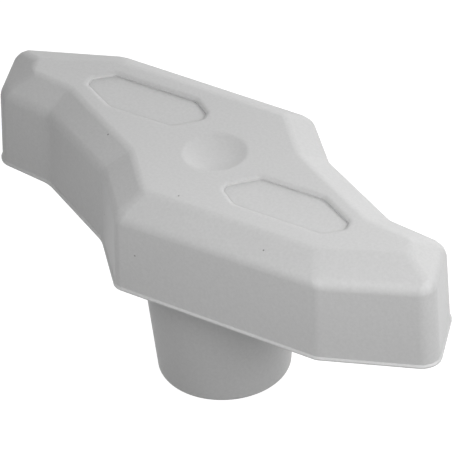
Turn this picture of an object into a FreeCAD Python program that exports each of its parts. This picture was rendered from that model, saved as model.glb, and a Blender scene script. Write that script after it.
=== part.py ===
"""Wing-shaped grip knob: a moulded handle on a tapered hub, with a threaded metal bushing in the hub's end."""
import FreeCAD, Part
import Sketcher
import math
import os

# The Z axis is the screw's axis, and the floor is the flat end of the hub.
# The X axis runs through the middle of both blade tips, and a half turn about Z maps the knob onto itself.

# Driving dimensions in millimetres and degrees
SIZES = {
    # plan of the wing at the lower edge of its wall: the six corners of the blade on the +X side
    "heel_across": 3.3,
    "heel_out": 17.0,
    "waist_along": 11.5,
    "waist_out": 10.3,
    "neck_along": 26.0,
    "neck_out": 4.9,
    "tip_back_along": 35.0,
    "tip_back_out": 5.1,
    "tip_front_along": 40.5,
    "tip_front_out": 5.1,
    "cheek_along": 27.0,
    "cheek_out": 12.8,
    # heights of the hub, the wall and the sloped shoulder
    "hub_length": 21.2,
    "wall_height": 11.2,
    "shoulder_rise": 2.4,
    "shoulder_run": 4.2,
    "wall_draft": 2.2,
    "edge_radius": 1.8,
    # ridge left by the mould along the lower edge of the wall
    "rim_step": 0.25,
    "rim_height": 0.4,
    # round hub
    "hub_end_radius": 9.0,
    "hub_draft": 4.7,
    "hub_end_rounding": 0.6,
    # cored underside
    "wall_thickness": 2.2,
    "plate_thickness": 3.0,
    "core_draft": 1.5,
    "core_rounding": 0.8,
    "rib_thickness": 1.8,
    "rib_setback": 1.0,
    "spine_offset": 2.5,
    "cross_rib_along": 16.8,
    "cross_rib_spacing": 8.6,
    # six-sided recess on the blade, and the round dimple over the hub
    "recess_depth": 0.5,
    "recess_tip_along": 25.1,
    "recess_tip_out": 2.1,
    "recess_cheek_along": 22.6,
    "recess_cheek_out": 5.75,
    "recess_heel_along": 9.2,
    "recess_heel_out": 7.55,
    "recess_root_along": 5.6,
    "recess_root_out": 5.6,
    "recess_waist_along": 8.6,
    "recess_waist_out": 0.8,
    "recess_neck_along": 18.1,
    "recess_neck_out": 0.55,
    "dimple_radius": 4.3,
    "dimple_depth": 0.8,
    # threaded bushing, moulded into the hub
    "bushing_radius": 6.0,
    "bushing_length": 17.0,
    "bushing_groove_depth": 0.7,
    "bushing_groove_width": 2.5,
    "bushing_groove_height": 7.0,
    "tapping_radius": 3.4,
    "thread_depth": 13.5,
    "drill_point_angle": 118.0,
    "mouth_chamfer": 0.8,
}

TOP_HEIGHT = "sizes.hub_length + sizes.wall_height + sizes.shoulder_rise"
CROSS_RIBS_ON_A_BLADE = 2
BLADE_COUNT = 2
FULL_TURN = 360.0
SAME_PLACE = 1e-4


def fill_sheet(document):
    """Write every driving dimension into the sheet under its own name."""
    sheet = document.addObject("Spreadsheet::Sheet", "sizes")
    for row, (name, value) in enumerate(SIZES.items(), start=1):
        sheet.set(f"A{row}", name)
        sheet.set(f"B{row}", str(value))
        sheet.setAlias(f"B{row}", name)
    document.recompute()
    return sheet


def origin_feature(body, role):
    """Return one of a body's own origin planes or axes."""
    return next(feature for feature in body.Origin.OriginFeatures if feature.Role == role)


def new_sketch(body, name, plane, height=None):
    """Attach an empty sketch to a plane of its body, lifted to a height given as an expression."""
    sketch = body.newObject("Sketcher::SketchObject", name)
    sketch.AttachmentSupport = [(origin_feature(body, plane), "")]
    sketch.MapMode = "FlatFace"
    if height:
        sketch.setExpression("AttachmentOffset.Base.z", height)
    return sketch


def add_closed_outline(sketch, points):
    """Draw straight lines through the points and close them into one loop."""
    first = sketch.GeometryCount
    for start, end in zip(points, points[1:] + points[:1]):
        line = Part.LineSegment(FreeCAD.Vector(*start, 0), FreeCAD.Vector(*end, 0))
        sketch.addGeometry(line, False)
    count = len(points)
    for index in range(count):
        following = first + (index + 1) % count
        sketch.addConstraint(Sketcher.Constraint("Coincident", first + index, 2, following, 1))
    return first


def bind(sketch, kind, element, point, expression, sign=1):
    """Tie a point's distance from the sketch's origin to the sheet, on the positive or negative side."""
    ends = (-1, 1, element, point) if sign > 0 else (element, point, -1, 1)
    index = sketch.addConstraint(Sketcher.Constraint(kind, *ends, 1.0))
    sketch.setExpression(f"Constraints[{index}]", expression)


def corner(name_along, name_out, side):
    """Describe a corner of the +X blade: its two sizes and the side of the X axis that it is on."""
    return name_along, name_out, side


WING_CORNERS = [
    corner("cheek_along", "cheek_out", -1),
    corner("tip_front_along", "tip_front_out", -1),
    corner("tip_back_along", "tip_back_out", 1),
    corner("neck_along", "neck_out", 1),
    corner("waist_along", "waist_out", 1),
    corner("heel_across", "heel_out", 1),
]

RECESS_CORNERS = [
    corner("recess_tip_along", "recess_tip_out", -1),
    corner("recess_neck_along", "recess_neck_out", 1),
    corner("recess_waist_along", "recess_waist_out", -1),
    corner("recess_root_along", "recess_root_out", -1),
    corner("recess_heel_along", "recess_heel_out", -1),
    corner("recess_cheek_along", "recess_cheek_out", -1),
]


def draw_wing_outline(sketch):
    """Draw the twelve-sided plan: six corners of one blade and the same six turned by half a turn."""
    blade = [(SIZES[along], side * SIZES[out]) for along, out, side in WING_CORNERS]
    turned = [(-x, -y) for x, y in blade]
    add_closed_outline(sketch, blade + turned)
    for index, (along, out, side) in enumerate(WING_CORNERS):
        bind(sketch, "DistanceX", index, 1, f"sizes.{along}")
        bind(sketch, "DistanceY", index, 1, f"sizes.{out}", side)
        opposite = index + len(WING_CORNERS)
        sketch.addConstraint(Sketcher.Constraint("Symmetric", index, 1, opposite, 1, -1, 1))


def draw_recess_outline(sketch):
    """Draw the six-sided recess of the +X blade."""
    points = [(SIZES[along], side * SIZES[out]) for along, out, side in RECESS_CORNERS]
    add_closed_outline(sketch, points)
    for index, (along, out, side) in enumerate(RECESS_CORNERS):
        bind(sketch, "DistanceX", index, 1, f"sizes.{along}")
        bind(sketch, "DistanceY", index, 1, f"sizes.{out}", side)


def edges_where(feature, wanted):
    """Name the edges of a feature's shape whose two ends pass a test."""
    names = []
    for number, edge in enumerate(feature.Shape.Edges, start=1):
        ends = [vertex.Point for vertex in edge.Vertexes]
        if wanted(ends[0], ends[-1]):
            names.append(f"Edge{number}")
    return names


def pad(body, name, profile, length):
    """Raise a profile by a length given as an expression."""
    feature = body.newObject("PartDesign::Pad", name)
    feature.Profile = profile
    feature.setExpression("Length", length)
    return feature


def loft(body, name, lowest, higher):
    """Join outlines at rising heights with straight sloping faces, one for each side of the outline."""
    feature = body.newObject("PartDesign::AdditiveLoft", name)
    feature.Profile = lowest
    feature.Sections = [(outline, [""]) for outline in higher]
    feature.Ruled = True
    return feature


def level_plane(body, name, height):
    """Set a plane level at a height given as an expression."""
    plane = body.newObject("PartDesign::Plane", name)
    plane.AttachmentSupport = [(origin_feature(body, "XY_Plane"), "")]
    plane.MapMode = "FlatFace"
    plane.setExpression("AttachmentOffset.Base.z", height)
    return plane


def drafted(body, name, before, plane, angle):
    """Lean a feature's upright faces inwards from a level plane, by an angle given as an expression."""
    upright = []
    for number, face in enumerate(before.Shape.Faces, start=1):
        if abs(face.normalAt(0, 0).z) < SAME_PLACE:
            upright.append(f"Face{number}")
    feature = body.newObject("PartDesign::Draft", name)
    feature.Base = (before, upright)
    feature.NeutralPlane = (plane, [""])
    feature.setExpression("Angle", angle)
    return checked(feature, before.Shape.Volume, grows=False)


def turn_profile(body, name, kind, profile):
    """Turn a profile a full turn about its sketch's vertical axis, as a solid or as a cut."""
    feature = body.newObject(f"PartDesign::{kind}", name)
    feature.Profile = profile
    feature.ReferenceAxis = (profile, ["V_Axis"])
    feature.Angle = FULL_TURN
    return feature


def repeat_by_half_turn(body, name, originals):
    """Repeat features on the other blade, half a turn round the Z axis."""
    pattern = body.newObject("PartDesign::PolarPattern", name)
    pattern.Originals = originals
    pattern.Axis = (origin_feature(body, "Z_Axis"), [""])
    pattern.Angle = FULL_TURN
    pattern.Occurrences = BLADE_COUNT
    body.Tip = pattern
    return pattern


def checked(feature, volume_before, grows):
    """Stop if a feature did not add or take away what it is there for."""
    feature.Document.recompute()
    change = feature.Shape.Volume - volume_before
    if (change > SAME_PLACE) != grows or abs(change) < SAME_PLACE:
        raise ValueError(f"{feature.Name} changed the volume by {change:.3f}")
    return feature


def offset_outline(body, name, sketch, distance):
    """Make a face inside or outside an outline, at a distance given as an expression."""
    binder = body.newObject("PartDesign::SubShapeBinder", name)
    binder.Support = [(sketch, "")]
    binder.MakeFace = True
    binder.OffsetJoinType = "Tangent"
    binder.setExpression("Offset", distance)
    return binder


def outline_above(document, body, name, height, distance):
    """Draw the wing's plan at a height and offset it, both by distances given as expressions."""
    plan = new_sketch(body, f"{name}_plan", "XY_Plane", height)
    draw_wing_outline(plan)
    document.recompute()
    face = offset_outline(body, f"{name}_outline", plan, distance)
    document.recompute()
    return face


def build_underside_core(document, wing_outline):
    """Make the form of the hollow under the wing, with slots where the ribs stay."""
    core = document.addObject("PartDesign::Body", "underside_core")
    inner_outline = offset_outline(core, "inner_outline", wing_outline, "-sizes.wall_thickness")
    document.recompute()
    depth = "sizes.wall_height + sizes.shoulder_rise - sizes.plate_thickness"
    straight_hollow = pad(core, "straight_hollow", inner_outline, depth)
    document.recompute()
    mouth_plane = level_plane(core, "mouth_plane", "sizes.hub_length")
    hollow = drafted(core, "hollow", straight_hollow, mouth_plane, "sizes.core_draft")
    upright_edges = edges_where(hollow, lambda start, end: abs(start.z - end.z) > SAME_PLACE)
    rounded = core.newObject("PartDesign::Fillet", "rounded_hollow")
    rounded.Base = (hollow, upright_edges)
    rounded.setExpression("Radius", "sizes.core_rounding")
    document.recompute()

    reach = "(sizes.tip_front_along + sizes.heel_out)"
    half_rib = "sizes.rib_thickness / 2"
    slots = [cut_rib_slot(
        core, "spine_slot", rounded,
        corner_at=("0", f"-sizes.spine_offset - {half_rib}"),
        size=(reach, "sizes.rib_thickness"),
    )]
    slots.append(cut_rib_slot(
        core, "heel_slot", slots[-1],
        corner_at=(f"-{half_rib}", "0"),
        size=("sizes.rib_thickness", reach),
    ))
    for number in range(CROSS_RIBS_ON_A_BLADE):
        middle = f"sizes.cross_rib_along + {number} * sizes.cross_rib_spacing"
        slots.append(cut_rib_slot(
            core, f"cross_slot_{number + 1}", slots[-1],
            corner_at=(f"{middle} - {half_rib}", f"-{reach}"),
            size=("sizes.rib_thickness", f"2 * {reach}"),
        ))
    repeat_by_half_turn(core, "slots_of_both_blades", slots)
    document.recompute()
    return core


def cut_rib_slot(core, name, before, corner_at, size):
    """Cut an upright straight slot, from its lowest corner in plan and its two sizes."""
    slot = core.newObject("PartDesign::SubtractiveBox", name)
    slot.AttachmentSupport = [(origin_feature(core, "XY_Plane"), "")]
    slot.MapMode = "FlatFace"
    slot.setExpression("AttachmentOffset.Base.x", corner_at[0])
    slot.setExpression("AttachmentOffset.Base.y", corner_at[1])
    slot.setExpression("AttachmentOffset.Base.z", "sizes.hub_length + sizes.rib_setback")
    slot.setExpression("Length", size[0])
    slot.setExpression("Width", size[1])
    slot.setExpression("Height", "sizes.wall_height + sizes.shoulder_rise")
    return checked(slot, before.Shape.Volume, grows=False)


def build_wing(document, grip):
    """Raise the wall and the sloped shoulder, add the mould's ridge and round the edges."""
    wing_outline = new_sketch(grip, "wing_outline", "XY_Plane", "sizes.hub_length")
    draw_wing_outline(wing_outline)
    document.recompute()
    lean = "sizes.wall_height * tan(sizes.wall_draft)"
    belt_outline = outline_above(document, grip, "belt", "sizes.hub_length + sizes.wall_height", f"-{lean}")
    top_outline = outline_above(document, grip, "top", TOP_HEIGHT, f"-({lean} + sizes.shoulder_run)")
    shoulder = loft(grip, "wall_and_shoulder", wing_outline, [belt_outline, top_outline])
    document.recompute()
    rim_outline = offset_outline(grip, "rim_outline", wing_outline, "sizes.rim_step")
    document.recompute()
    rim = pad(grip, "rim", rim_outline, "sizes.rim_height")
    checked(rim, shoulder.Shape.Volume, grows=True)

    ledge = SIZES["hub_length"] + SIZES["rim_height"]
    outer_edges = edges_where(
        rim, lambda start, end: start.z > ledge + SAME_PLACE or abs(start.z - end.z) > SAME_PLACE
    )
    rounded = grip.newObject("PartDesign::Fillet", "rounded_edges")
    rounded.Base = (rim, outer_edges)
    rounded.setExpression("Radius", "sizes.edge_radius")
    checked(rounded, rim.Shape.Volume, grows=False)
    return wing_outline, rounded


def build_hub(document, grip, hollowed):
    """Turn the tapered hub, from its end face up into the wing's plate."""
    profile = new_sketch(grip, "hub_profile", "XZ_Plane")
    top = SIZES["hub_length"] + SIZES["wall_height"]
    end_radius = SIZES["hub_end_radius"]
    top_radius = end_radius + top * math.tan(math.radians(SIZES["hub_draft"]))
    add_closed_outline(profile, [(0, 0), (end_radius, 0), (top_radius, top), (0, top)])
    profile.addConstraint(Sketcher.Constraint("Horizontal", 0))
    profile.addConstraint(Sketcher.Constraint("Horizontal", 2))
    profile.addConstraint(Sketcher.Constraint("Coincident", 0, 1, -1, 1))
    profile.addConstraint(Sketcher.Constraint("PointOnObject", 2, 2, -2))
    bind(profile, "DistanceX", 1, 1, "sizes.hub_end_radius")
    bind(profile, "DistanceY", 1, 2, "sizes.hub_length + sizes.wall_height")
    top_height = "(sizes.hub_length + sizes.wall_height)"
    bind(profile, "DistanceX", 1, 2, f"sizes.hub_end_radius + {top_height} * tan(sizes.hub_draft)")
    hub = turn_profile(grip, "hub", "Revolution", profile)
    return checked(hub, hollowed.Shape.Volume, grows=True)


def build_recesses(document, grip, before):
    """Sink the six-sided recess into the plateau of each blade."""
    outline = new_sketch(grip, "recess_outline", "XY_Plane", TOP_HEIGHT)
    draw_recess_outline(outline)
    document.recompute()
    recess = grip.newObject("PartDesign::Pocket", "recess")
    recess.Profile = outline
    recess.setExpression("Length", "sizes.recess_depth")
    checked(recess, before.Shape.Volume, grows=False)
    return repeat_by_half_turn(grip, "recesses_of_both_blades", [recess])


def build_dimple(document, grip, before):
    """Sink a shallow spherical dimple into the plateau, over the hub."""
    rim = SIZES["dimple_radius"]
    depth = SIZES["dimple_depth"]
    top = SIZES["hub_length"] + SIZES["wall_height"] + SIZES["shoulder_rise"]
    ball = (rim ** 2 + depth ** 2) / (2 * depth)
    lowest = FreeCAD.Vector(0, top - depth, 0)
    edge = FreeCAD.Vector(rim, top, 0)
    tilt = math.asin(rim / ball) / 2
    halfway = FreeCAD.Vector(ball * math.sin(tilt), top - depth + ball * (1 - math.cos(tilt)), 0)

    profile = new_sketch(grip, "dimple_profile", "XZ_Plane")
    profile.addGeometry(Part.Arc(lowest, halfway, edge), False)
    profile.addGeometry(Part.LineSegment(edge, FreeCAD.Vector(0, top, 0)), False)
    profile.addGeometry(Part.LineSegment(FreeCAD.Vector(0, top, 0), lowest), False)
    for constraint in (
        ("Coincident", 0, 2, 1, 1),
        ("Coincident", 1, 2, 2, 1),
        ("Coincident", 2, 2, 0, 1),
        ("Horizontal", 1),
        ("PointOnObject", 0, 1, -2),
        ("PointOnObject", 1, 2, -2),
        ("PointOnObject", 0, 3, -2),
    ):
        profile.addConstraint(Sketcher.Constraint(*constraint))
    bind(profile, "DistanceY", 1, 2, TOP_HEIGHT)
    bind(profile, "DistanceX", 1, 1, "sizes.dimple_radius")
    bind(profile, "DistanceY", 0, 1, f"{TOP_HEIGHT} - sizes.dimple_depth")
    document.recompute()
    dimple = turn_profile(grip, "dimple", "Groove", profile)
    return checked(dimple, before.Shape.Volume, grows=False)


def draw_bushing_outline(sketch):
    """Draw half of the bushing's section: a round bar with one groove that keys it into the plastic."""
    radius = SIZES["bushing_radius"]
    neck = radius - SIZES["bushing_groove_depth"]
    lower = SIZES["bushing_groove_height"]
    upper = lower + SIZES["bushing_groove_width"]
    length = SIZES["bushing_length"]
    end_and_foot = [(0, 0), (radius, 0), (radius, lower)]
    groove = [(neck, lower), (neck, upper)]
    head = [(radius, upper), (radius, length), (0, length)]
    add_closed_outline(sketch, end_and_foot + groove + head)
    outer = "sizes.bushing_radius"
    inner = "sizes.bushing_radius - sizes.bushing_groove_depth"
    groove_foot = "sizes.bushing_groove_height"
    groove_head = "sizes.bushing_groove_height + sizes.bushing_groove_width"
    sketch.addConstraint(Sketcher.Constraint("Coincident", 0, 1, -1, 1))
    for element in (0, 2, 4, 6):
        sketch.addConstraint(Sketcher.Constraint("Horizontal", element))
    for element in (1, 3, 5, 7):
        sketch.addConstraint(Sketcher.Constraint("Vertical", element))
    bind(sketch, "DistanceX", 1, 1, outer)
    bind(sketch, "DistanceX", 3, 1, inner)
    bind(sketch, "DistanceX", 5, 1, outer)
    bind(sketch, "DistanceY", 2, 1, groove_foot)
    bind(sketch, "DistanceY", 4, 1, groove_head)
    bind(sketch, "DistanceY", 6, 1, "sizes.bushing_length")


def build_bushing_seat(document, grip, before):
    """Clear the place of the moulded-in bushing and round the hub's end."""
    section = new_sketch(grip, "seat_section", "XZ_Plane")
    draw_bushing_outline(section)
    document.recompute()
    seat = turn_profile(grip, "bushing_seat", "Groove", section)
    checked(seat, before.Shape.Volume, grows=False)

    end_radius = SIZES["hub_end_radius"]
    hub_end = edges_where(seat, lambda start, end: abs(start.z) + abs(end.z) < SAME_PLACE)
    outer_end = [name for name in hub_end if is_circle_of_radius(seat.Shape.getElement(name), end_radius)]
    rounded = grip.newObject("PartDesign::Fillet", "rounded_hub_end")
    rounded.Base = (seat, outer_end)
    rounded.setExpression("Radius", "sizes.hub_end_rounding")
    return checked(rounded, seat.Shape.Volume, grows=False)


def is_circle_of_radius(edge, radius):
    """Tell whether an edge is a circle of a given radius."""
    return isinstance(edge.Curve, Part.Circle) and abs(edge.Curve.Radius - radius) < SAME_PLACE


def build_grip_body(document):
    """Mould the whole handle as one piece: wing, shoulder, hub, ribs, recesses and dimple."""
    grip = document.addObject("PartDesign::Body", "grip_body")
    wing_outline, rounded_wing = build_wing(document, grip)

    hollowed = grip.newObject("PartDesign::Boolean", "hollowed_underside")
    hollowed.setObjects([build_underside_core(document, wing_outline)])
    hollowed.Type = "Cut"
    checked(hollowed, rounded_wing.Shape.Volume, grows=False)

    hub = build_hub(document, grip, hollowed)
    recesses = build_recesses(document, grip, hub)
    dimple = build_dimple(document, grip, recesses)
    build_bushing_seat(document, grip, dimple)
    return grip


def build_bushing(document):
    """Turn the metal bushing and drill its blind hole, at the size that the thread is tapped from."""
    bushing = document.addObject("PartDesign::Body", "threaded_bushing")
    section = new_sketch(bushing, "bushing_section", "XZ_Plane")
    draw_bushing_outline(section)
    document.recompute()
    bar = turn_profile(bushing, "bar", "Revolution", section)
    document.recompute()

    centre = new_sketch(bushing, "hole_centre", "XY_Plane")
    circle = Part.Circle(FreeCAD.Vector(0, 0, 0), FreeCAD.Vector(0, 0, 1), SIZES["tapping_radius"])
    centre.addGeometry(circle, False)
    centre.addConstraint(Sketcher.Constraint("Coincident", 0, 3, -1, 1))
    index = centre.addConstraint(Sketcher.Constraint("Radius", 0, SIZES["tapping_radius"]))
    centre.setExpression(f"Constraints[{index}]", "sizes.tapping_radius")
    document.recompute()
    hole = bushing.newObject("PartDesign::Hole", "tapping_hole")
    hole.Profile = centre
    hole.Reversed = True
    hole.DepthType = "Dimension"
    hole.DrillPoint = "Angled"
    hole.setExpression("Diameter", "2 * sizes.tapping_radius")
    hole.setExpression("Depth", "sizes.thread_depth")
    hole.setExpression("DrillPointAngle", "sizes.drill_point_angle")
    checked(hole, bar.Shape.Volume, grows=False)

    radius = SIZES["tapping_radius"]
    rings = edges_where(hole, lambda start, end: abs(start.z) + abs(end.z) < SAME_PLACE)
    mouth_ring = [name for name in rings if is_circle_of_radius(hole.Shape.getElement(name), radius)]
    mouth = bushing.newObject("PartDesign::Chamfer", "hole_mouth")
    mouth.Base = (hole, mouth_ring)
    mouth.setExpression("Size", "sizes.mouth_chamfer")
    checked(mouth, hole.Shape.Volume, grows=False)
    return bushing


def check_document(document, pieces):
    """Stop if any object failed, or if a piece is not one valid solid."""
    for item in document.Objects:
        faults = {"Invalid", "Error"} & set(item.State)
        if faults:
            raise ValueError(f"{item.Name} is {faults}")
    for piece in pieces:
        shape = piece.Shape
        if shape.isNull() or not shape.isValid() or len(shape.Solids) != 1:
            raise ValueError(f"{piece.Label} is not one valid solid")


def main():
    """Build the knob and write one file for each piece."""
    document = FreeCAD.newDocument("grip_knob")
    fill_sheet(document)
    pieces = [build_grip_body(document), build_bushing(document)]
    document.recompute()
    check_document(document, pieces)
    os.makedirs("parts", exist_ok=True)
    for piece in pieces:
        piece.Shape.exportStep(f"parts/{piece.Label}.step")
        print(f"{piece.Label}: {piece.Shape.Volume:.1f} mm3, {len(piece.Shape.Faces)} faces")


main()
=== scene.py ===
"""Looks of a wing-shaped grip knob: moulded handle, threaded bushing, studio floor, lamps and camera."""

import logging
import math
from dataclasses import dataclass, field
from enum import Enum

import bmesh
import bpy
from mathutils import Matrix, Vector


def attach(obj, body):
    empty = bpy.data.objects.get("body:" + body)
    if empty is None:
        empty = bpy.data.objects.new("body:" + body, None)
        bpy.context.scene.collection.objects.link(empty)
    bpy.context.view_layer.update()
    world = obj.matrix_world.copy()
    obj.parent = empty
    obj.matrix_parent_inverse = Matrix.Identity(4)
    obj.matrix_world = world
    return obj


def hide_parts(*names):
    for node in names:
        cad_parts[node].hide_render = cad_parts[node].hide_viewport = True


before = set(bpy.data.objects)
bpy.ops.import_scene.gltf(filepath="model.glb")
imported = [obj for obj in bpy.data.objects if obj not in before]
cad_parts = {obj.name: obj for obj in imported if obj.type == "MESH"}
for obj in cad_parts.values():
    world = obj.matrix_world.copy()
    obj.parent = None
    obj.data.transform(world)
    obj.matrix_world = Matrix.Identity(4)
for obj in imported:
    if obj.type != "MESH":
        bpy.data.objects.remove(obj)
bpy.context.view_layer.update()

LOG = logging.getLogger("grip_knob")
MM = 0.001
SAME_PLACE = 1e-4
Point = tuple[float, float]
Colour = tuple[float, float, float]


class Lip(Enum):
    """Kinds of edge on the moulded handle, by how softly each one is rounded."""

    CORNER = "corner"
    BELT = "belt"
    HIP = "hip"
    TIP = "tip"
    VALLEY = "valley"
    PLATEAU = "plateau"


def linear(value: float) -> float:
    """Turn a display value into a linear one.

    Args:
        value: display value from 0 to 1.

    Returns:
        The linear value.
    """
    if value <= 0.04045:
        return value / 12.92
    return ((value + 0.055) / 1.055) ** 2.4


def grey(value: float) -> Colour:
    """Return a neutral linear colour from a display value from 0 to 1."""
    return (linear(value),) * 3


class NodeBench:
    """Places and links the nodes of one material, world or node group."""

    COLUMN_WIDTH = 220
    ROW_HEIGHT = 160
    ROWS = 3

    def __init__(self, tree: bpy.types.NodeTree) -> None:
        """Keep the tree and start at its left side.

        Args:
            tree: the node tree to fill.
        """
        self.tree = tree
        self.column = 0

    def add(self, kind: str, name: str, **settings: object) -> bpy.types.Node:
        """Place a node in the next column and set its plain properties.

        Args:
            kind: the node's type name.
            name: the label and name that the node gets.
            **settings: properties of the node itself.

        Returns:
            The new node.
        """
        node = self.tree.nodes.new(kind)
        node.name = name
        node.label = name
        node.location = (self.column * self.COLUMN_WIDTH, -(self.column % self.ROWS) * self.ROW_HEIGHT)
        self.column += 1
        for key, value in settings.items():
            setattr(node, key, value)
        return node

    def link(self, source: bpy.types.NodeSocket, target: bpy.types.NodeSocket) -> None:
        """Join an output to an input."""
        self.tree.links.new(source, target)

    def math(
        self, operation: str, name: str, first: object, second: object = None,
    ) -> bpy.types.NodeSocket:
        """Work out a number from one or two sockets or constants.

        Args:
            operation: the math node's operation.
            name: the node's name.
            first: a socket or a constant.
            second: a socket, a constant or nothing.

        Returns:
            The result's socket.
        """
        node = self.add("ShaderNodeMath", name, operation=operation)
        for slot, value in enumerate((first, second)):
            if value is None:
                continue
            if isinstance(value, bpy.types.NodeSocket):
                self.link(value, node.inputs[slot])
            else:
                node.inputs[slot].default_value = value
        return node.outputs[0]


class SurfaceGrain:
    """Shader group that both finishes use: fine grain and cloudy tone, sized in millimetres."""

    NAME = "surface_grain"
    GRAIN_DETAIL = 3.0
    GRAIN_ROUGHNESS = 0.6
    CLOUD_DETAIL = 2.0

    @classmethod
    def tree(cls) -> bpy.types.NodeTree:
        """Return the group, which is built the first time that it is asked for."""
        found = bpy.data.node_groups.get(cls.NAME)
        return found or cls._build()

    @classmethod
    def _build(cls) -> bpy.types.NodeTree:
        """Build the group with its named inputs and outputs.

        Returns:
            The node group.
        """
        tree = bpy.data.node_groups.new(cls.NAME, "ShaderNodeTree")
        sockets = (
            ("Coordinates", "INPUT", "NodeSocketVector", None),
            ("Base", "INPUT", "NodeSocketColor", (0.5, 0.5, 0.5, 1.0)),
            ("Grain Size", "INPUT", "NodeSocketFloat", 0.3),
            ("Grain Amount", "INPUT", "NodeSocketFloat", 0.1),
            ("Cloud Size", "INPUT", "NodeSocketFloat", 9.0),
            ("Cloud Amount", "INPUT", "NodeSocketFloat", 0.03),
            ("Colour", "OUTPUT", "NodeSocketColor", None),
            ("Height", "OUTPUT", "NodeSocketFloat", None),
            ("Cloud", "OUTPUT", "NodeSocketFloat", None),
        )
        for name, way, kind, value in sockets:
            socket = tree.interface.new_socket(name=name, in_out=way, socket_type=kind)
            if value is not None:
                socket.default_value = value
        bench = NodeBench(tree)
        given = bench.add("NodeGroupInput", "given").outputs

        grain_scale = bench.math("DIVIDE", "grain_scale", 1000.0, given["Grain Size"])
        grain = bench.add("ShaderNodeTexNoise", "grain")
        grain.inputs["Detail"].default_value = cls.GRAIN_DETAIL
        grain.inputs["Roughness"].default_value = cls.GRAIN_ROUGHNESS
        bench.link(given["Coordinates"], grain.inputs["Vector"])
        bench.link(grain_scale, grain.inputs["Scale"])

        cloud_scale = bench.math("DIVIDE", "cloud_scale", 1000.0, given["Cloud Size"])
        cloud = bench.add("ShaderNodeTexNoise", "cloud")
        cloud.inputs["Detail"].default_value = cls.CLOUD_DETAIL
        bench.link(given["Coordinates"], cloud.inputs["Vector"])
        bench.link(cloud_scale, cloud.inputs["Scale"])

        swing = bench.math("SUBTRACT", "cloud_swing", cloud.outputs["Fac"], 0.5)
        drift = bench.math("MULTIPLY", "cloud_drift", swing, given["Cloud Amount"])
        lift = bench.math("ADD", "tone_lift", 1.0, drift)
        mottle_swing = bench.math("SUBTRACT", "grain_swing", grain.outputs["Fac"], 0.5)
        mottle = bench.math("MULTIPLY", "grain_mottle", mottle_swing, given["Grain Amount"])
        tone = bench.math("ADD", "tone", lift, mottle)
        toned = bench.add("ShaderNodeVectorMath", "toned_colour", operation="SCALE")
        bench.link(given["Base"], toned.inputs[0])
        bench.link(tone, toned.inputs["Scale"])

        result = bench.add("NodeGroupOutput", "result").inputs
        bench.link(toned.outputs[0], result["Colour"])
        bench.link(grain.outputs["Fac"], result["Height"])
        bench.link(cloud.outputs["Fac"], result["Cloud"])
        return tree


class DirtSpecks:
    """Shader group of the few dark specks on the handle, at their places in millimetres."""

    NAME = "dirt_specks"
    RADIUS = 0.12
    PLACES = (
        (-9.99, -11.26, 26.78), (-14.25, -5.09, 34.42), (2.6, -10.34, 34.8),
        (17.82, -11.65, 33.7), (-0.2, -16.33, 27.43),
    )

    @classmethod
    def tree(cls) -> bpy.types.NodeTree:
        """Return the group, which is built the first time that it is asked for."""
        found = bpy.data.node_groups.get(cls.NAME)
        return found or cls._build()

    @classmethod
    def _build(cls) -> bpy.types.NodeTree:
        """Build the group, whose tone is 1 except on a speck.

        Returns:
            The node group.
        """
        tree = bpy.data.node_groups.new(cls.NAME, "ShaderNodeTree")
        tree.interface.new_socket(name="Coordinates", in_out="INPUT", socket_type="NodeSocketVector")
        amount = tree.interface.new_socket(name="Amount", in_out="INPUT", socket_type="NodeSocketFloat")
        amount.default_value = 0.4
        tree.interface.new_socket(name="Tone", in_out="OUTPUT", socket_type="NodeSocketFloat")
        bench = NodeBench(tree)
        given = bench.add("NodeGroupInput", "given").outputs
        nearest = None
        for index, place in enumerate(cls.PLACES):
            away = bench.add("ShaderNodeVectorMath", f"away_from_speck_{index}", operation="DISTANCE")
            away.inputs[1].default_value = [value * MM for value in place]
            bench.link(given["Coordinates"], away.inputs[0])
            gap = away.outputs["Value"]
            nearest = bench.math("MINIMUM", f"nearest_speck_{index}", nearest, gap) if nearest else gap
        mask = bench.math("LESS_THAN", "speck_mask", nearest, cls.RADIUS * MM)
        shade = bench.math("MULTIPLY", "speck_shade", mask, given["Amount"])
        tone = bench.math("SUBTRACT", "speck_tone", 1.0, shade)
        bench.link(tone, bench.add("NodeGroupOutput", "result").inputs["Tone"])
        return tree


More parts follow.
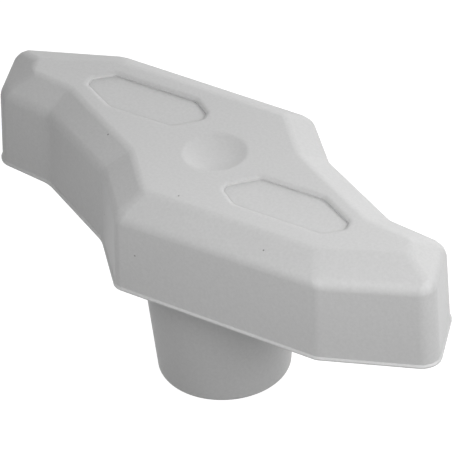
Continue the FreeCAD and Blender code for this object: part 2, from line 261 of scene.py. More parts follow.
@dataclass(frozen=True)
class Finish:
    """Base of the two finishes: grain group, roughness range and bump on one Principled shader."""

    name: str
    base: Colour
    grain_size: float
    grain_amount: float
    cloud_size: float
    cloud_amount: float
    bump_strength: float
    bump_height: float
    rough_low: float
    rough_high: float
    metallic: float = 0.0
    specular: float = 0.5
    speck_amount: float = 0.0

    def material(self) -> bpy.types.Material:
        """Build the material of this finish.

        Returns:
            The finished material.
        """
        made = bpy.data.materials.new(self.name)
        made.use_nodes = True
        made.node_tree.nodes.clear()
        bench = NodeBench(made.node_tree)
        place = bench.add("ShaderNodeTexCoord", "place")
        effect = bench.add("ShaderNodeGroup", "grain_effect", node_tree=SurfaceGrain.tree())
        effect.inputs["Base"].default_value = (*self.base, 1.0)
        effect.inputs["Grain Size"].default_value = self.grain_size
        effect.inputs["Grain Amount"].default_value = self.grain_amount
        effect.inputs["Cloud Size"].default_value = self.cloud_size
        effect.inputs["Cloud Amount"].default_value = self.cloud_amount
        bench.link(place.outputs["Object"], effect.inputs["Coordinates"])
        colour = effect.outputs["Colour"]
        if self.speck_amount > 0:
            specks = bench.add("ShaderNodeGroup", "speck_effect", node_tree=DirtSpecks.tree())
            specks.inputs["Amount"].default_value = self.speck_amount
            bench.link(place.outputs["Object"], specks.inputs["Coordinates"])
            speckled = bench.add("ShaderNodeVectorMath", "speckled_colour", operation="SCALE")
            bench.link(colour, speckled.inputs[0])
            bench.link(specks.outputs["Tone"], speckled.inputs["Scale"])
            colour = speckled.outputs[0]

        sheen = bench.add("ShaderNodeMapRange", "roughness_range")
        sheen.inputs["To Min"].default_value = self.rough_low
        sheen.inputs["To Max"].default_value = self.rough_high
        bench.link(effect.outputs["Cloud"], sheen.inputs["Value"])

        bump = bench.add("ShaderNodeBump", "grain_bump")
        bump.inputs["Strength"].default_value = self.bump_strength
        bump.inputs["Distance"].default_value = self.bump_height * MM
        bench.link(effect.outputs["Height"], bump.inputs["Height"])

        shader = bench.add("ShaderNodeBsdfPrincipled", "surface")
        shader.inputs["Metallic"].default_value = self.metallic
        shader.inputs["Specular IOR Level"].default_value = self.specular
        bench.link(colour, shader.inputs["Base Color"])
        bench.link(sheen.outputs["Result"], shader.inputs["Roughness"])
        bench.link(bump.outputs["Normal"], shader.inputs["Normal"])
        output = bench.add("ShaderNodeOutputMaterial", "output")
        bench.link(shader.outputs["BSDF"], output.inputs["Surface"])
        return made


MOULDED_PLASTIC = Finish(
    name="moulded_plastic",
    base=grey(0.74),
    grain_size=0.4,
    grain_amount=0.2,
    cloud_size=9.0,
    cloud_amount=0.05,
    bump_strength=0.25,
    bump_height=0.03,
    rough_low=0.42,
    rough_high=0.56,
    specular=0.4,
    speck_amount=0.6,
)

TURNED_BRASS = Finish(
    name="turned_brass",
    base=(0.72, 0.50, 0.22),
    grain_size=0.2,
    grain_amount=0.1,
    cloud_size=4.0,
    cloud_amount=0.12,
    bump_strength=0.2,
    bump_height=0.02,
    rough_low=0.26,
    rough_high=0.42,
    metallic=1.0,
)


def finish_piece(
    bm: bmesh.types.BMesh, name: str, finish: Finish, node: str,
) -> bpy.types.Object:
    """Turn a bmesh in millimetres into a dressed piece that stands for a node.

    Args:
        bm: the mesh, which is freed.
        name: the piece's name.
        finish: the finish of its surface.
        node: the solid that it stands for.

    Returns:
        The piece, at the origin and riding on the part.
    """
    bmesh.ops.scale(bm, vec=(MM, MM, MM), verts=bm.verts)
    mesh = bpy.data.meshes.new(name)
    bm.to_mesh(mesh)
    bm.free()
    mesh.materials.append(finish.material())
    mesh.shade_smooth()
    piece = bpy.data.objects.new(name, mesh)
    bpy.context.scene.collection.objects.link(piece)
    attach(piece, "root")
    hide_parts(node)
    return piece


def mark_sharp(bm: bmesh.types.BMesh, limit: float) -> None:
    """Mark edges as sharp where their faces turn by more than a limit.

    Args:
        bm: the mesh.
        limit: the largest turn of a smooth edge, in degrees.
    """
    bm.normal_update()
    for edge in bm.edges:
        if len(edge.link_faces) == 2 and edge.calc_face_angle(0.0) > math.radians(limit):
            edge.smooth = False


def spin_profile(bm: bmesh.types.BMesh, profile: list[Point], steps: int) -> list[bmesh.types.BMFace]:
    """Turn a profile of radius and height a full turn about the Z axis.

    Args:
        bm: the mesh to add to.
        profile: points of radius and height.
        steps: how many steps make the full turn.

    Returns:
        The faces that were made.
    """
    known = set(bm.faces)
    verts = [bm.verts.new((radius, 0, height)) for radius, height in profile]
    edges = [bm.edges.new(pair) for pair in zip(verts, verts[1:])]
    bmesh.ops.spin(
        bm, geom=verts + edges, cent=(0, 0, 0), axis=(0, 0, 1), dvec=(0, 0, 0),
        angle=math.tau, steps=steps, use_merge=True,
    )
    fresh = [face for face in bm.faces if face not in known]
    corners = {vert for face in fresh for vert in face.verts}
    bmesh.ops.remove_doubles(bm, verts=list(corners), dist=SAME_PLACE)
    return [face for face in bm.faces if face not in known]


def arc(centre: Point, radius: float, start: float, end: float, steps: int) -> list[Point]:
    """Return points on an arc in the profile's plane.

    Args:
        centre: the arc's centre.
        radius: its radius.
        start: first angle in degrees.
        end: last angle in degrees.
        steps: how many steps lie between them.

    Returns:
        The points, both ends included.
    """
    points = []
    for step in range(steps + 1):
        angle = math.radians(start + (end - start) * step / steps)
        points.append((centre[0] + radius * math.cos(angle), centre[1] + radius * math.sin(angle)))
    return points


def push_in(bm: bmesh.types.BMesh, faces: list[bmesh.types.BMFace], inset: float, depth: float) -> None:
    """Inset a region evenly and move it along its normal, in millimetres."""
    bmesh.ops.inset_region(
        bm, faces=faces, thickness=inset, depth=depth,
        use_boundary=True, use_even_offset=True, use_interpolate=False,
    )


def offset_points(points: list[Point], distance: float) -> list[Point]:
    """Offset a closed outline evenly, outwards for a positive distance.

    Args:
        points: the outline's corners, anticlockwise.
        distance: how far each side moves.

    Returns:
        The corners of the new outline, in the same order.
    """
    bm = bmesh.new()
    face = level_face(bm, points, 0.0)
    push_in(bm, [face], -distance, 0.0)
    moved = []
    for point in points:
        start = next(
            vert for vert in bm.verts
            if vert not in face.verts and (vert.co.xy - Vector(point)).length < SAME_PLACE
        )
        ends = (edge.other_vert(start) for edge in start.link_edges)
        end = next(vert for vert in ends if vert in face.verts)
        moved.append((end.co.x, end.co.y))
    bm.free()
    return moved


def level_face(
    bm: bmesh.types.BMesh, points: list[Point], height: float, looks_up: bool = True,
) -> bmesh.types.BMFace:
    """Make one level face through points at a height.

    Args:
        bm: the mesh to add to.
        points: corners in order.
        height: the face's level.
        looks_up: whether its normal points up or down.

    Returns:
        The face.
    """
    face = bm.faces.new([bm.verts.new((x, y, height)) for x, y in points])
    face.normal_update()
    if (face.normal.z > 0) != looks_up:
        face.normal_flip()
    return face


def rounded_copy(solid: bmesh.types.BMesh, widest: float, segments: int) -> bmesh.types.BMesh:
    """Round the weighted edges of a solid with a Bevel modifier and return the result.

    Args:
        solid: a mesh with a layer of widths as shares of the widest one, which is freed.
        widest: the widest cut.
        segments: how many steps round each edge.

    Returns:
        The rounded mesh.
    """
    mesh = bpy.data.meshes.new("unrounded")
    solid.to_mesh(mesh)
    solid.free()
    holder = bpy.data.objects.new("unrounded", mesh)
    bpy.context.scene.collection.objects.link(holder)
    rounding = holder.modifiers.new("rounding", "BEVEL")
    rounding.limit_method = "WEIGHT"
    rounding.width = widest
    rounding.segments = segments
    rounding.profile = 0.5
    rounding.use_clamp_overlap = False
    bm = bmesh.new()
    bm.from_object(holder, bpy.context.evaluated_depsgraph_get())
    bpy.data.objects.remove(holder)
    bpy.data.meshes.remove(mesh)
    return bm


def round_edges(
    bm: bmesh.types.BMesh, edges: list[bmesh.types.BMEdge], radius: float, segments: int,
) -> None:
    """Round edges that meet at nearly one angle with the bevel operator.

    Args:
        bm: the mesh.
        edges: the edges to cut.
        radius: radius of the rounding.
        segments: how many steps round each edge.
    """
    bm.normal_update()
    turns = [edge.calc_face_angle(0.0) for edge in edges]
    width = radius * math.tan(max(turns) / 2)
    bmesh.ops.bevel(
        bm, geom=edges, offset=width, offset_type="OFFSET", segments=segments, profile=0.5,
        affect="EDGES", material=-1, clamp_overlap=False,
    )


@dataclass
class Wing:
    """Wing of the handle: wall, sloped shoulder, plateau and ribbed underside, in millimetres."""

    # corners of one blade from above, anticlockwise; the other blade is the same after half a turn
    blade: list[Point] = field(default_factory=lambda: [
        (27.0, -12.8), (40.5, -5.1), (35.0, 5.1), (26.0, 4.9), (11.5, 10.3), (3.3, 17.0),
    ])
    foot: float = 21.2
    wall_height: float = 11.2
    shoulder_rise: float = 2.4
    shoulder_run: float = 4.2
    wall_draft: float = 2.2
    # rise of each belt corner, and slide of a blade's plateau corners, to the next one where positive
    belt_lift: tuple[float, ...] = (0.55, 0.9, 0.25, 0.25, 0.3, 0.0, 0.2, 0.25, 0.1, 0.1, 0.15, 0.0)
    plateau_slide: tuple[float, ...] = (-1.8, 1.1, 0.0, 0.0, 0.0, 0.0)
    # fine ridge of the mould along the lower edge, with its sloped upper side
    rim_step: float = 0.22
    rim_slant: float = 0.22
    rim_height: float = 0.4
    # cored underside with its ribs, some along the blades and some across
    wall_thickness: float = 2.2
    plate_thickness: float = 3.0
    core_draft: float = 1.5
    core_rounding: float = 0.6
    core_steps: int = 2
    rib_thickness: float = 1.8
    rib_setback: float = 1.0
    spine_offset: float = 2.5
    cross_ribs: tuple[float, float] = (16.8, 25.4)
    # floor of one recess, its place, and the rounded lip that leads down to it
    recess_corners: list[Point] = field(default_factory=lambda: [
        (24.35, -3.3), (23.85, -1.7), (18.0, 0.45), (8.5, -0.95),
        (6.0, -4.7), (6.5, -6.0), (9.6, -7.55), (22.4, -5.75),
    ])
    recess_shift: Point = (-0.28, 0.31)
    recess_corner: float = 0.4
    corner_steps: int = 4
    recess_step: float = 0.24
    step_lean: float = 0.01
    lip_depth: float = 0.25
    lip_radius: float = 1.1
    lip_steps: int = 6
    level_margin: float = 0.1
    dimple_radius: float = 4.3
    dimple_depth: float = 0.8
    dimple_lip: float = 2.0
    dimple_steps: int = 96
    dimple_floor_steps: int = 10
    dimple_lip_steps: int = 5
    # radius of each kind of edge, and how far out the tips and their outermost corners start
    softness: dict[Lip, float] = field(default_factory=lambda: {
        Lip.CORNER: 1.9,
        Lip.BELT: 1.8,
        Lip.HIP: 5.0,
        Lip.TIP: 2.4,
        Lip.VALLEY: 5.0,
        Lip.PLATEAU: 2.4,
    })
    tip_start: float = 30.0
    point_start: float = 38.0
    segments: int = 6

    @property
    def belt(self) -> float:
        """Height at which the wall ends and the shoulder starts."""
        return self.foot + self.wall_height

    @property
    def top(self) -> float:
        """Height of the plateau."""
        return self.belt + self.shoulder_rise

    @property
    def ledge(self) -> float:
        """Height at which the wall ends and the fine ridge starts."""
        return self.foot + self.rim_height

    @property
    def lip_turn(self) -> float:
        """Angle in radians through which the rounded lip of a recess bends."""
        return math.acos(1 - self.lip_depth / self.lip_radius)

    @property
    def lip_run(self) -> float:
        """Width of the rounded lip, seen from above."""
        return self.lip_radius * math.sin(self.lip_turn)

    def plan(self) -> list[Point]:
        """Return the twelve corners of both blades, anticlockwise seen from above."""
        return self.blade + [(-x, -y) for x, y in self.blade]

    def build(self) -> bmesh.types.BMesh:
        """Build the wing: rounded outside, then ridge, hollow, recesses and dimple.

        Returns:
            The wing as one closed mesh.
        """
        bm = self._round_outside()
        self._sink_plateau(bm)
        lower_loop = self._add_rim(bm)
        hollow_loop = self._hollow_underside(bm)
        bmesh.ops.triangle_fill(
            bm, use_beauty=True, use_dissolve=False, edges=lower_loop + hollow_loop, normal=(0, 0, -1),
        )
        bmesh.ops.recalc_face_normals(bm, faces=bm.faces)
        return bm

    def _round_outside(self) -> bmesh.types.BMesh:
        """Raise the wall and the shoulder past the foot, round their edges and cut them off level.

        Returns:
            The outside, open at the ridge's ledge.
        """
        solid = bmesh.new()
        layer = solid.edges.layers.float.new("bevel_weight_edge")
        below = self.foot - 2 * self.wall_thickness
        slope = math.tan(math.radians(self.wall_draft))
        start = offset_points(self.plan(), (self.foot - below) * slope)
        top = level_face(solid, start, below)
        level_face(solid, start, below, looks_up=False)
        push_in(solid, [top], (self.belt - below) * slope, self.belt - below)
        push_in(solid, [top], self.shoulder_run, self.shoulder_rise)
        self._ease_tips(list(top.verts))
        bmesh.ops.remove_doubles(solid, verts=solid.verts, dist=SAME_PLACE)
        solid.normal_update()
        widths = {}
        for edge in solid.edges:
            if max(vert.co.z for vert in edge.verts) > below + SAME_PLACE:
                radius = self.softness[self._kind_of(edge)]
                widths[edge] = radius * math.tan(edge.calc_face_angle(0.0) / 2)
        widest = max(widths.values())
        for edge, width in widths.items():
            edge[layer] = width / widest
        bm = rounded_copy(solid, widest, self.segments)
        bmesh.ops.bisect_plane(
            bm, geom=[*bm.verts, *bm.edges, *bm.faces], dist=SAME_PLACE,
            plane_co=(0, 0, self.ledge), plane_no=(0, 0, -1), clear_outer=True,
        )
        return bm

    def _ease_tips(self, ring: list[bmesh.types.BMVert]) -> None:
        """Let the belt rise and the plateau draw back a little towards each blade's tip.

        Args:
            ring: corners of the plateau, in the plan's order.
        """
        places = [vert.co.copy() for vert in ring]
        for index, vert in enumerate(ring):
            belt = self._linked_below(vert)
            climb = belt.co - self._linked_below(belt).co
            belt.co += climb * (self.belt_lift[index] / climb.z)
            slide = self.plateau_slide[index % len(self.blade)]
            ahead = index + 1 if slide > 0 else index - 1
            towards = places[ahead % len(places)] - places[index]
            vert.co += towards.normalized() * abs(slide)

    def _linked_below(self, vert: bmesh.types.BMVert) -> bmesh.types.BMVert:
        """Return the lowest of a corner's neighbours."""
        return min((edge.other_vert(vert) for edge in vert.link_edges), key=lambda other: other.co.z)

    def _kind_of(self, edge: bmesh.types.BMEdge) -> Lip:
        """Tell the kind of an edge of the unrounded solid.

        Args:
            edge: an edge above the solid's lowest level.

        Returns:
            Its kind.
        """
        low, high = sorted(edge.verts, key=lambda vert: vert.co.z)
        if low.co.z > self.top - SAME_PLACE:
            return Lip.PLATEAU
        if low.co.z > self.belt - SAME_PLACE and high.co.z < self.top - self.shoulder_rise / 2:
            return Lip.BELT
        if edge.calc_face_angle_signed(0.0) < 0:
            return Lip.VALLEY
        if high.co.z > self.top - SAME_PLACE and abs(low.co.x) < self.point_start:
            return Lip.HIP
        return Lip.TIP if abs(low.co.x) > self.tip_start else Lip.CORNER

    def _sink_plateau(self, bm: bmesh.types.BMesh) -> None:
        """Open the plateau round the two recesses and the dimple, and sink them.

        Args:
            bm: the mesh.
        """
        bm.normal_update()
        level = [face for face in bm.faces if face.normal.z > 1 - SAME_PLACE]
        plateau = max(level, key=lambda face: face.calc_area())
        loops = list(plateau.edges)
        bmesh.ops.delete(bm, geom=[plateau], context="FACES_ONLY")
        recesses = [self._lay_out_recess(bm, side) for side in (1, -1)]
        for face in recesses:
            loops.extend(face.edges)
        loops.extend(self._spin_dimple(bm))
        lids = set(bm.faces)
        bmesh.ops.triangle_fill(bm, use_beauty=True, use_dissolve=False, edges=loops, normal=(0, 0, 1))
        for face in recesses:
            inside = set(face.verts)
            covers = [item for item in bm.faces if item not in lids and inside.issuperset(item.verts)]
            bmesh.ops.delete(bm, geom=covers, context="FACES_ONLY")
            self._sink_recess(bm, face)

    def _lay_out_recess(self, bm: bmesh.types.BMesh, side: int) -> bmesh.types.BMFace:
        """Lay one level face where a recess and its lip will be.

        Args:
            bm: the mesh.
            side: 1 for one blade, -1 for the other.

        Returns:
            The face.
        """
        aside, ahead = self.recess_shift
        corners = [(side * x + aside, side * y + ahead) for x, y in self.recess_corners]
        outline = offset_points(self._rounded(corners), self.level_margin + self.lip_run)
        return level_face(bm, outline, self.top)

    def _sink_recess(self, bm: bmesh.types.BMesh, face: bmesh.types.BMFace) -> None:
        """Bend the rounded lip down in short steps and end it in a small upright one.

        Args:
            bm: the mesh.
            face: the face that becomes the recess's floor.
        """
        push_in(bm, [face], self.level_margin, 0.0)
        before = Vector((0.0, 0.0))
        for step in range(self.lip_steps):
            angle = self.lip_turn * (step + 1) / self.lip_steps
            after = Vector((math.sin(angle), 1 - math.cos(angle))) * self.lip_radius
            push_in(bm, [face], after.x - before.x, before.y - after.y)
            before = after
        push_in(bm, [face], self.step_lean, -self.recess_step)

    def _spin_dimple(self, bm: bmesh.types.BMesh) -> list[bmesh.types.BMEdge]:
        """Turn the shallow spherical dimple with its rounded lip and a level margin.

        Args:
            bm: the mesh.

        Returns:
            The edges of its margin.
        """
        depth, lip = self.dimple_depth, self.dimple_lip
        ball = (self.dimple_radius ** 2 + depth ** 2) / (2 * depth)
        lip_out = math.sqrt(2 * (ball + lip) * depth - depth ** 2)
        reach = math.degrees(math.asin(lip_out / (ball + lip)))
        profile = arc((0.0, self.top - depth + ball), ball, -90.0, -90.0 + reach, self.dimple_floor_steps)
        profile += arc((lip_out, self.top - lip), lip, 90.0 + reach, 90.0, self.dimple_lip_steps)[1:]
        profile.append((lip_out + self.level_margin, self.top))
        faces = spin_profile(bm, profile, self.dimple_steps)
        return list({edge for face in faces for edge in face.edges if edge.is_boundary})

    def _add_rim(self, bm: bmesh.types.BMesh) -> list[bmesh.types.BMEdge]:
        """Lay the mould's fine ridge round the wall's lower edge.

        Args:
            bm: the mesh.

        Returns:
            The edges of its lower side.
        """
        opening = [
            edge for edge in bm.edges
            if edge.is_boundary and edge.verts[0].co.z < self.ledge + SAME_PLACE
        ]
        before = set(bm.faces)
        bmesh.ops.edgeloop_fill(bm, edges=opening)
        face = next(item for item in bm.faces if item not in before)
        face.normal_update()
        if face.normal.z > 0:
            face.normal_flip()
        push_in(bm, [face], -self.rim_step, self.rim_slant)
        push_in(bm, [face], 0.0, self.rim_height - self.rim_slant)
        lower = list(face.edges)
        bmesh.ops.delete(bm, geom=[face], context="FACES_ONLY")
        return lower

    def _hollow_underside(self, bm: bmesh.types.BMesh) -> list[bmesh.types.BMEdge]:
        """Make the ribbed hollow under the plate.

        Args:
            bm: the mesh.

        Returns:
            The edges of its opening.
        """
        known = set(bm.faces)
        level_face(bm, offset_points(self.plan(), -self.wall_thickness), self.foot, looks_up=False)
        half = self.rib_thickness / 2
        for side in (1, -1):
            self._cut_along(bm, known, Vector((side * half, 0, 0)), Vector((1, 0, 0)), 0)
        for side in (1, -1):
            spine = -side * self.spine_offset
            for offset in (spine - half, spine + half):
                self._cut_along(bm, known, Vector((0, offset, 0)), Vector((0, 1, 0)), side)
            for along in self.cross_ribs:
                for offset in (along - half, along + half):
                    self._cut_along(bm, known, Vector((side * offset, 0, 0)), Vector((1, 0, 0)), side)
        inner = [face for face in bm.faces if face not in known]
        push_in(bm, inner, 0.0, -self.rib_setback)
        hollow = [face for face in bm.faces if face not in known]
        loop = [edge for face in hollow for edge in face.edges if edge.is_boundary]
        cells = [face for face in inner if not self._on_rib(face.calc_center_median())]
        depth = self.top - self.plate_thickness - self.foot - self.rib_setback
        lean = depth * math.tan(math.radians(self.core_draft))
        bmesh.ops.inset_individual(bm, faces=cells, thickness=lean, depth=-depth, use_even_offset=True)
        upper = {edge for cell in cells for edge in cell.edges}
        round_edges(bm, list(upper), self.core_rounding, self.core_steps)
        return loop

    def _cut_along(
        self, bm: bmesh.types.BMesh, known: set[bmesh.types.BMFace],
        place: Vector, normal: Vector, side: int,
    ) -> None:
        """Cut the underside's faces along a plane.

        Args:
            bm: the mesh.
            known: faces that aren't part of the hollow.
            place: a point on the plane.
            normal: the plane's normal.
            side: 1 or -1 for one blade only, 0 for both.
        """
        half = self.rib_thickness / 2
        faces = [face for face in bm.faces if face not in known]
        if side:
            faces = [face for face in faces if side * face.calc_center_median().x > half]
        edges = {edge for face in faces for edge in face.edges}
        verts = {vert for face in faces for vert in face.verts}
        bmesh.ops.bisect_plane(
            bm, geom=[*faces, *edges, *verts], dist=SAME_PLACE, plane_co=place, plane_no=normal,
        )

    def _on_rib(self, middle: Vector) -> bool:
        """Tell whether a face of the underside is the foot of a rib.

        Args:
            middle: the face's middle.

        Returns:
            Whether it is one.
        """
        half = self.rib_thickness / 2 + SAME_PLACE
        side = 1 if middle.x > 0 else -1
        across = abs(middle.x) < half
        spine = abs(middle.y + side * self.spine_offset) < half
        cross = any(abs(abs(middle.x) - along) < half for along in self.cross_ribs)
        return across or spine or cross

    def _rounded(self, points: list[Point]) -> list[Point]:
        """Round the corners of a recess's outline with the bevel operator.

        Args:
            points: the outline's corners.

        Returns:
            The outline with short steps round each corner.
        """
        bm = bmesh.new()
        face = level_face(bm, points, 0.0)
        bmesh.ops.bevel(
            bm, geom=list(face.verts), offset=self.recess_corner, offset_type="OFFSET",
            segments=self.corner_steps, profile=0.5, affect="VERTICES", material=-1,
        )
        face = max(bm.faces, key=lambda item: item.calc_area())
        outline = [(vert.co.x, vert.co.y) for vert in face.verts]
        bm.free()
        return outline


@dataclass
class Hub:
    """Tapered round hub under the wing, with the seat of the bushing in its end, in millimetres."""

    end_radius: float = 9.15
    draft: float = 4.7
    end_rounding: float = 0.6
    height: float = 32.4
    seat_radius: float = 6.0
    seat_depth: float = 17.0
    rounding_steps: int = 6
    steps: int = 128

    def add_to(self, bm: bmesh.types.BMesh) -> None:
        """Turn the hub's closed profile into the mesh.

        Args:
            bm: the mesh to add to.
        """
        lean = math.tan(math.radians(self.draft))
        top_radius = self.end_radius + lean * self.height
        rounding = arc(
            (self.end_radius - self.end_rounding, self.end_rounding),
            self.end_rounding, -90.0, 0.0, self.rounding_steps,
        )
        profile = [(0.0, self.seat_depth), (self.seat_radius, self.seat_depth), (self.seat_radius, 0.0)]
        profile += rounding + [(top_radius, self.height), (0.0, self.height)]
        faces = spin_profile(bm, profile, self.steps)
        bmesh.ops.recalc_face_normals(bm, faces=faces)


@dataclass
class GripBody:
    """Moulded handle: the wing and the hub as one piece."""

    wing: Wing = field(default_factory=Wing)
    hub: Hub = field(default_factory=Hub)
    sharp_angle: float = 40.0

    def make(self) -> bpy.types.Object:
        """Build the handle and dress it.

        Returns:
            The handle's object.
        """
        bm = self.wing.build()
        self.hub.add_to(bm)
        mark_sharp(bm, self.sharp_angle)
        piece = finish_piece(bm, "grip_handle", MOULDED_PLASTIC, "grip_body")
        even = piece.modifiers.new("even_normals", "WEIGHTED_NORMAL")
        even.keep_sharp = True
        return piece


@dataclass
class ThreadedBushing:
    """Turned metal bushing with a tapped blind hole, in millimetres."""

    radius: float = 6.0
    length: float = 17.0
    edge_break: float = 0.15
    crest_radius: float = 3.4
    root_radius: float = 4.0
    pitch: float = 1.25
    thread_depth: float = 13.5
    drill_point_angle: float = 118.0
    mouth_radius: float = 4.2
    # how far the ridge stays behind the chamfer, where it starts, and how deep it sits in the wall
    mouth_step: float = 0.02
    thread_start: float = 0.3
    ridge_seat: float = 0.1
    steps: int = 64
    sharp_angle: float = 35.0

    def make(self) -> bpy.types.Object:
        """Build the bushing and its thread, and dress them.

        Returns:
            The bushing's object.
        """
        bm = bmesh.new()
        inner = self.root_radius + self.ridge_seat / 2
        tip = self.thread_depth + inner / math.tan(math.radians(self.drill_point_angle / 2))
        outer, broken = self.radius, self.edge_break
        profile = [
            (0.0, tip), (inner, self.thread_depth), (inner, self.mouth_radius - inner),
            (self.mouth_radius, 0.0), (outer - broken, 0.0), (outer, broken),
            (outer, self.length - broken), (outer - broken, self.length), (0.0, self.length),
        ]
        faces = spin_profile(bm, profile, self.steps)
        bmesh.ops.recalc_face_normals(bm, faces=faces)
        self._add_thread(bm)
        mark_sharp(bm, self.sharp_angle)
        return finish_piece(bm, "bushing", TURNED_BRASS, "threaded_bushing")

    def _add_thread(self, bm: bmesh.types.BMesh) -> None:
        """Wind the thread's ridge round the hole as a closed body, running out into the mouth's chamfer.

        Args:
            bm: the mesh to add to.
        """
        turns = math.ceil(self.thread_depth / self.pitch) + 1
        flat = self.pitch / 8
        sunk = self.root_radius + self.ridge_seat
        section = [
            (sunk, flat / 2),
            (self.crest_radius, self.pitch / 2 - flat / 2),
            (self.crest_radius, self.pitch / 2 + flat / 2),
            (sunk, self.pitch - flat / 2),
        ]
        before = set(bm.verts)
        verts = [bm.verts.new((x, 0, z - self.pitch)) for x, z in section]
        edges = [bm.edges.new((verts[index - 1], verts[index])) for index in range(len(verts))]
        bmesh.ops.spin(
            bm, geom=verts + edges, cent=(0, 0, 0), axis=(0, 0, 1),
            dvec=(0, 0, self.pitch / self.steps), angle=math.tau * turns,
            steps=self.steps * turns, use_merge=False,
        )
        for height, way in ((self.thread_start, -1), (self.thread_depth, 1)):
            faces = {face for vert in bm.verts if vert not in before for face in vert.link_faces}
            edges = {edge for face in faces for edge in face.edges}
            verts = {vert for face in faces for vert in face.verts}
            bmesh.ops.bisect_plane(
                bm, geom=[*faces, *edges, *verts], dist=SAME_PLACE,
                plane_co=(0, 0, height), plane_no=(0, 0, way), clear_outer=True,
            )
            cut = [
                edge for edge in bm.edges
                if edge.is_boundary and abs(edge.verts[0].co.z - height) < SAME_PLACE
            ]
            bmesh.ops.triangle_fill(
                bm, use_beauty=True, use_dissolve=False, edges=cut, normal=(0, 0, way),
            )
        wound = {vert for vert in bm.verts if vert not in before}
        for vert in wound:
            least = self.mouth_radius - self.mouth_step - vert.co.z
            radius = vert.co.xy.length
            if radius < least:
                vert.co.xy = vert.co.xy * (least / radius)
        ridge = list({face for vert in wound for face in vert.link_faces})
        bmesh.ops.recalc_face_normals(bm, faces=ridge)


@dataclass(frozen=True)
class Lamp:
    """Soft lamp: its turn from the camera and its height in degrees, power in watts, lengths in metres."""

    name: str
    turn: float
    height: float
    power: float
    size: float = 0.3
    distance: float = 0.35
    target: tuple[float, float, float] = (0.0, 0.0, 0.02)

    def place(self, camera_turn: float) -> bpy.types.Object:
        """Set the lamp up, aimed at its target.

        Args:
            camera_turn: the camera's own direction round the knob, in degrees.

        Returns:
            The lamp's object.
        """
        data = bpy.data.lights.new(self.name, "AREA")
        data.shape = "DISK"
        data.size = self.size
        data.energy = self.power
        lamp = bpy.data.objects.new(self.name, data)
        around = math.radians(camera_turn + self.turn)
        up = math.radians(self.height)
        away = Vector((math.sin(around) * math.cos(up), -math.cos(around) * math.cos(up), math.sin(up)))
        lamp.location = Vector(self.target) + away * self.distance
        lamp.rotation_euler = (-away).to_track_quat("-Z", "Y").to_euler()
        lamp.visible_camera = False
        bpy.context.scene.collection.objects.link(lamp)
        return lamp


def near_lamp(name: str, turn: float, height: float, power: float) -> Lamp:
    """Return a small lamp that stands close to the near blade's tip and is aimed at it."""
    return Lamp(name, turn, height, power, size=0.12, distance=0.17, target=(0.036, 0.0, 0.02))


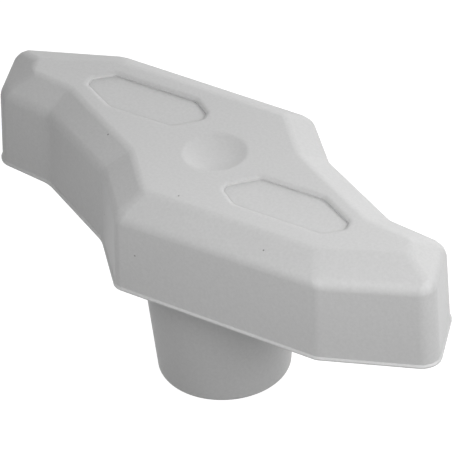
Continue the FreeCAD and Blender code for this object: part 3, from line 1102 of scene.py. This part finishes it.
@dataclass
class Studio:
    """Pale floor, plain soft lamps and the camera, with angles in degrees and distances in metres."""

    camera_turn: float = 41.70
    camera_height: float = 38.49
    camera_distance: float = 0.493
    pan: float = 0.12
    tilt: float = 2.12
    roll: float = -2.75
    lens: float = 286.9
    lamps: tuple[Lamp, ...] = (
        Lamp("back_lamp_low", turn=150.0, height=10.0, power=0.478),
        Lamp("back_lamp", turn=180.0, height=35.0, power=0.37),
        near_lamp("front_lamp_low", turn=50.0, height=12.0, power=0.068),
        near_lamp("front_lamp", turn=20.0, height=40.0, power=0.072),
        near_lamp("left_lamp", turn=-45.0, height=40.0, power=0.177),
        near_lamp("side_lamp", turn=80.0, height=40.0, power=0.19),
    )
    floor_tone: float = 0.25
    floor_glow: float = 0.95
    floor_radius: float = 3.0
    floor_steps: int = 64

    def build(self) -> None:
        """Set up the floor, the world, the lamps and the camera."""
        self._floor()
        self._world()
        for lamp in self.lamps:
            lamp.place(self.camera_turn)
        self._camera()

    def _seen(self, bench: NodeBench) -> bpy.types.NodeSocket:
        """Return a mask that is 1 for what the camera sees straight, mirrored or through glass.

        Args:
            bench: where the nodes go.

        Returns:
            The mask's socket.
        """
        path = bench.add("ShaderNodeLightPath", "light_path").outputs
        mirrored = bench.math("ADD", "camera_or_mirrored", path["Is Camera Ray"], path["Is Glossy Ray"])
        every = bench.math("ADD", "camera_mirrored_or_through", mirrored, path["Is Transmission Ray"])
        return bench.math("MINIMUM", "seen", every, 1.0)

    def _floor(self) -> None:
        """Lay the pale floor, which glows enough to look white and still takes the shadow."""
        bm = bmesh.new()
        bmesh.ops.create_circle(bm, cap_ends=True, radius=self.floor_radius, segments=self.floor_steps)
        mesh = bpy.data.meshes.new("studio_floor")
        bm.to_mesh(mesh)
        bm.free()
        floor = bpy.data.objects.new("studio_floor", mesh)
        bpy.context.scene.collection.objects.link(floor)
        paper = bpy.data.materials.new("pale_paper")
        paper.use_nodes = True
        paper.node_tree.nodes.clear()
        bench = NodeBench(paper.node_tree)
        sheet = bench.add("ShaderNodeBsdfDiffuse", "sheet")
        sheet.inputs["Color"].default_value = (self.floor_tone,) * 3 + (1.0,)
        glow = bench.add("ShaderNodeEmission", "glow")
        strength = bench.math("MULTIPLY", "glow_strength", self._seen(bench), self.floor_glow)
        bench.link(strength, glow.inputs["Strength"])
        both = bench.add("ShaderNodeAddShader", "sheet_and_glow")
        bench.link(sheet.outputs[0], both.inputs[0])
        bench.link(glow.outputs[0], both.inputs[1])
        side = bench.add("ShaderNodeNewGeometry", "side")
        clear = bench.add("ShaderNodeBsdfTransparent", "clear_from_below")
        mix = bench.add("ShaderNodeMixShader", "one_sided")
        bench.link(side.outputs["Backfacing"], mix.inputs[0])
        bench.link(both.outputs[0], mix.inputs[1])
        bench.link(clear.outputs[0], mix.inputs[2])
        output = bench.add("ShaderNodeOutputMaterial", "output")
        bench.link(mix.outputs[0], output.inputs["Surface"])
        mesh.materials.append(paper)

    def _world(self) -> None:
        """Show the surroundings as white, though only the lamps light the knob."""
        world = bpy.data.worlds.new("studio_world")
        bpy.context.scene.world = world
        world.use_nodes = True
        world.node_tree.nodes.clear()
        bench = NodeBench(world.node_tree)
        white = bench.add("ShaderNodeBackground", "white_surroundings")
        white.inputs["Color"].default_value = (1.0, 1.0, 1.0, 1.0)
        bench.link(self._seen(bench), white.inputs["Strength"])
        output = bench.add("ShaderNodeOutputWorld", "output")
        bench.link(white.outputs[0], output.inputs["Surface"])

    def _camera(self) -> None:
        """Stand the camera at the photograph's angle."""
        data = bpy.data.cameras.new("camera")
        data.lens = self.lens
        data.clip_start = 0.01
        data.clip_end = 20.0
        camera = bpy.data.objects.new("camera", data)
        bpy.context.scene.collection.objects.link(camera)
        stand = (
            Matrix.Rotation(math.radians(self.camera_turn), 3, "Z")
            @ Matrix.Rotation(math.radians(90.0 - self.camera_height), 3, "X")
        )
        aim = (
            Matrix.Rotation(math.radians(-self.pan), 3, "Y")
            @ Matrix.Rotation(math.radians(self.tilt), 3, "X")
            @ Matrix.Rotation(math.radians(self.roll), 3, "Z")
        )
        place = Matrix.Translation(stand.col[2] * self.camera_distance)
        camera.matrix_world = place @ (stand @ aim).to_4x4()
        bpy.context.scene.camera = camera


def main() -> None:
    """Build every piece and the studio in order, and report each piece."""
    logging.basicConfig(level=logging.INFO, format="%(name)s: %(message)s")
    for piece in (GripBody().make(), ThreadedBushing().make()):
        LOG.info("%s: %d faces", piece.name, len(piece.data.polygons))
    Studio().build()
    bpy.context.scene.view_settings.view_transform = "Standard"


if __name__ == "__main__":
    main()
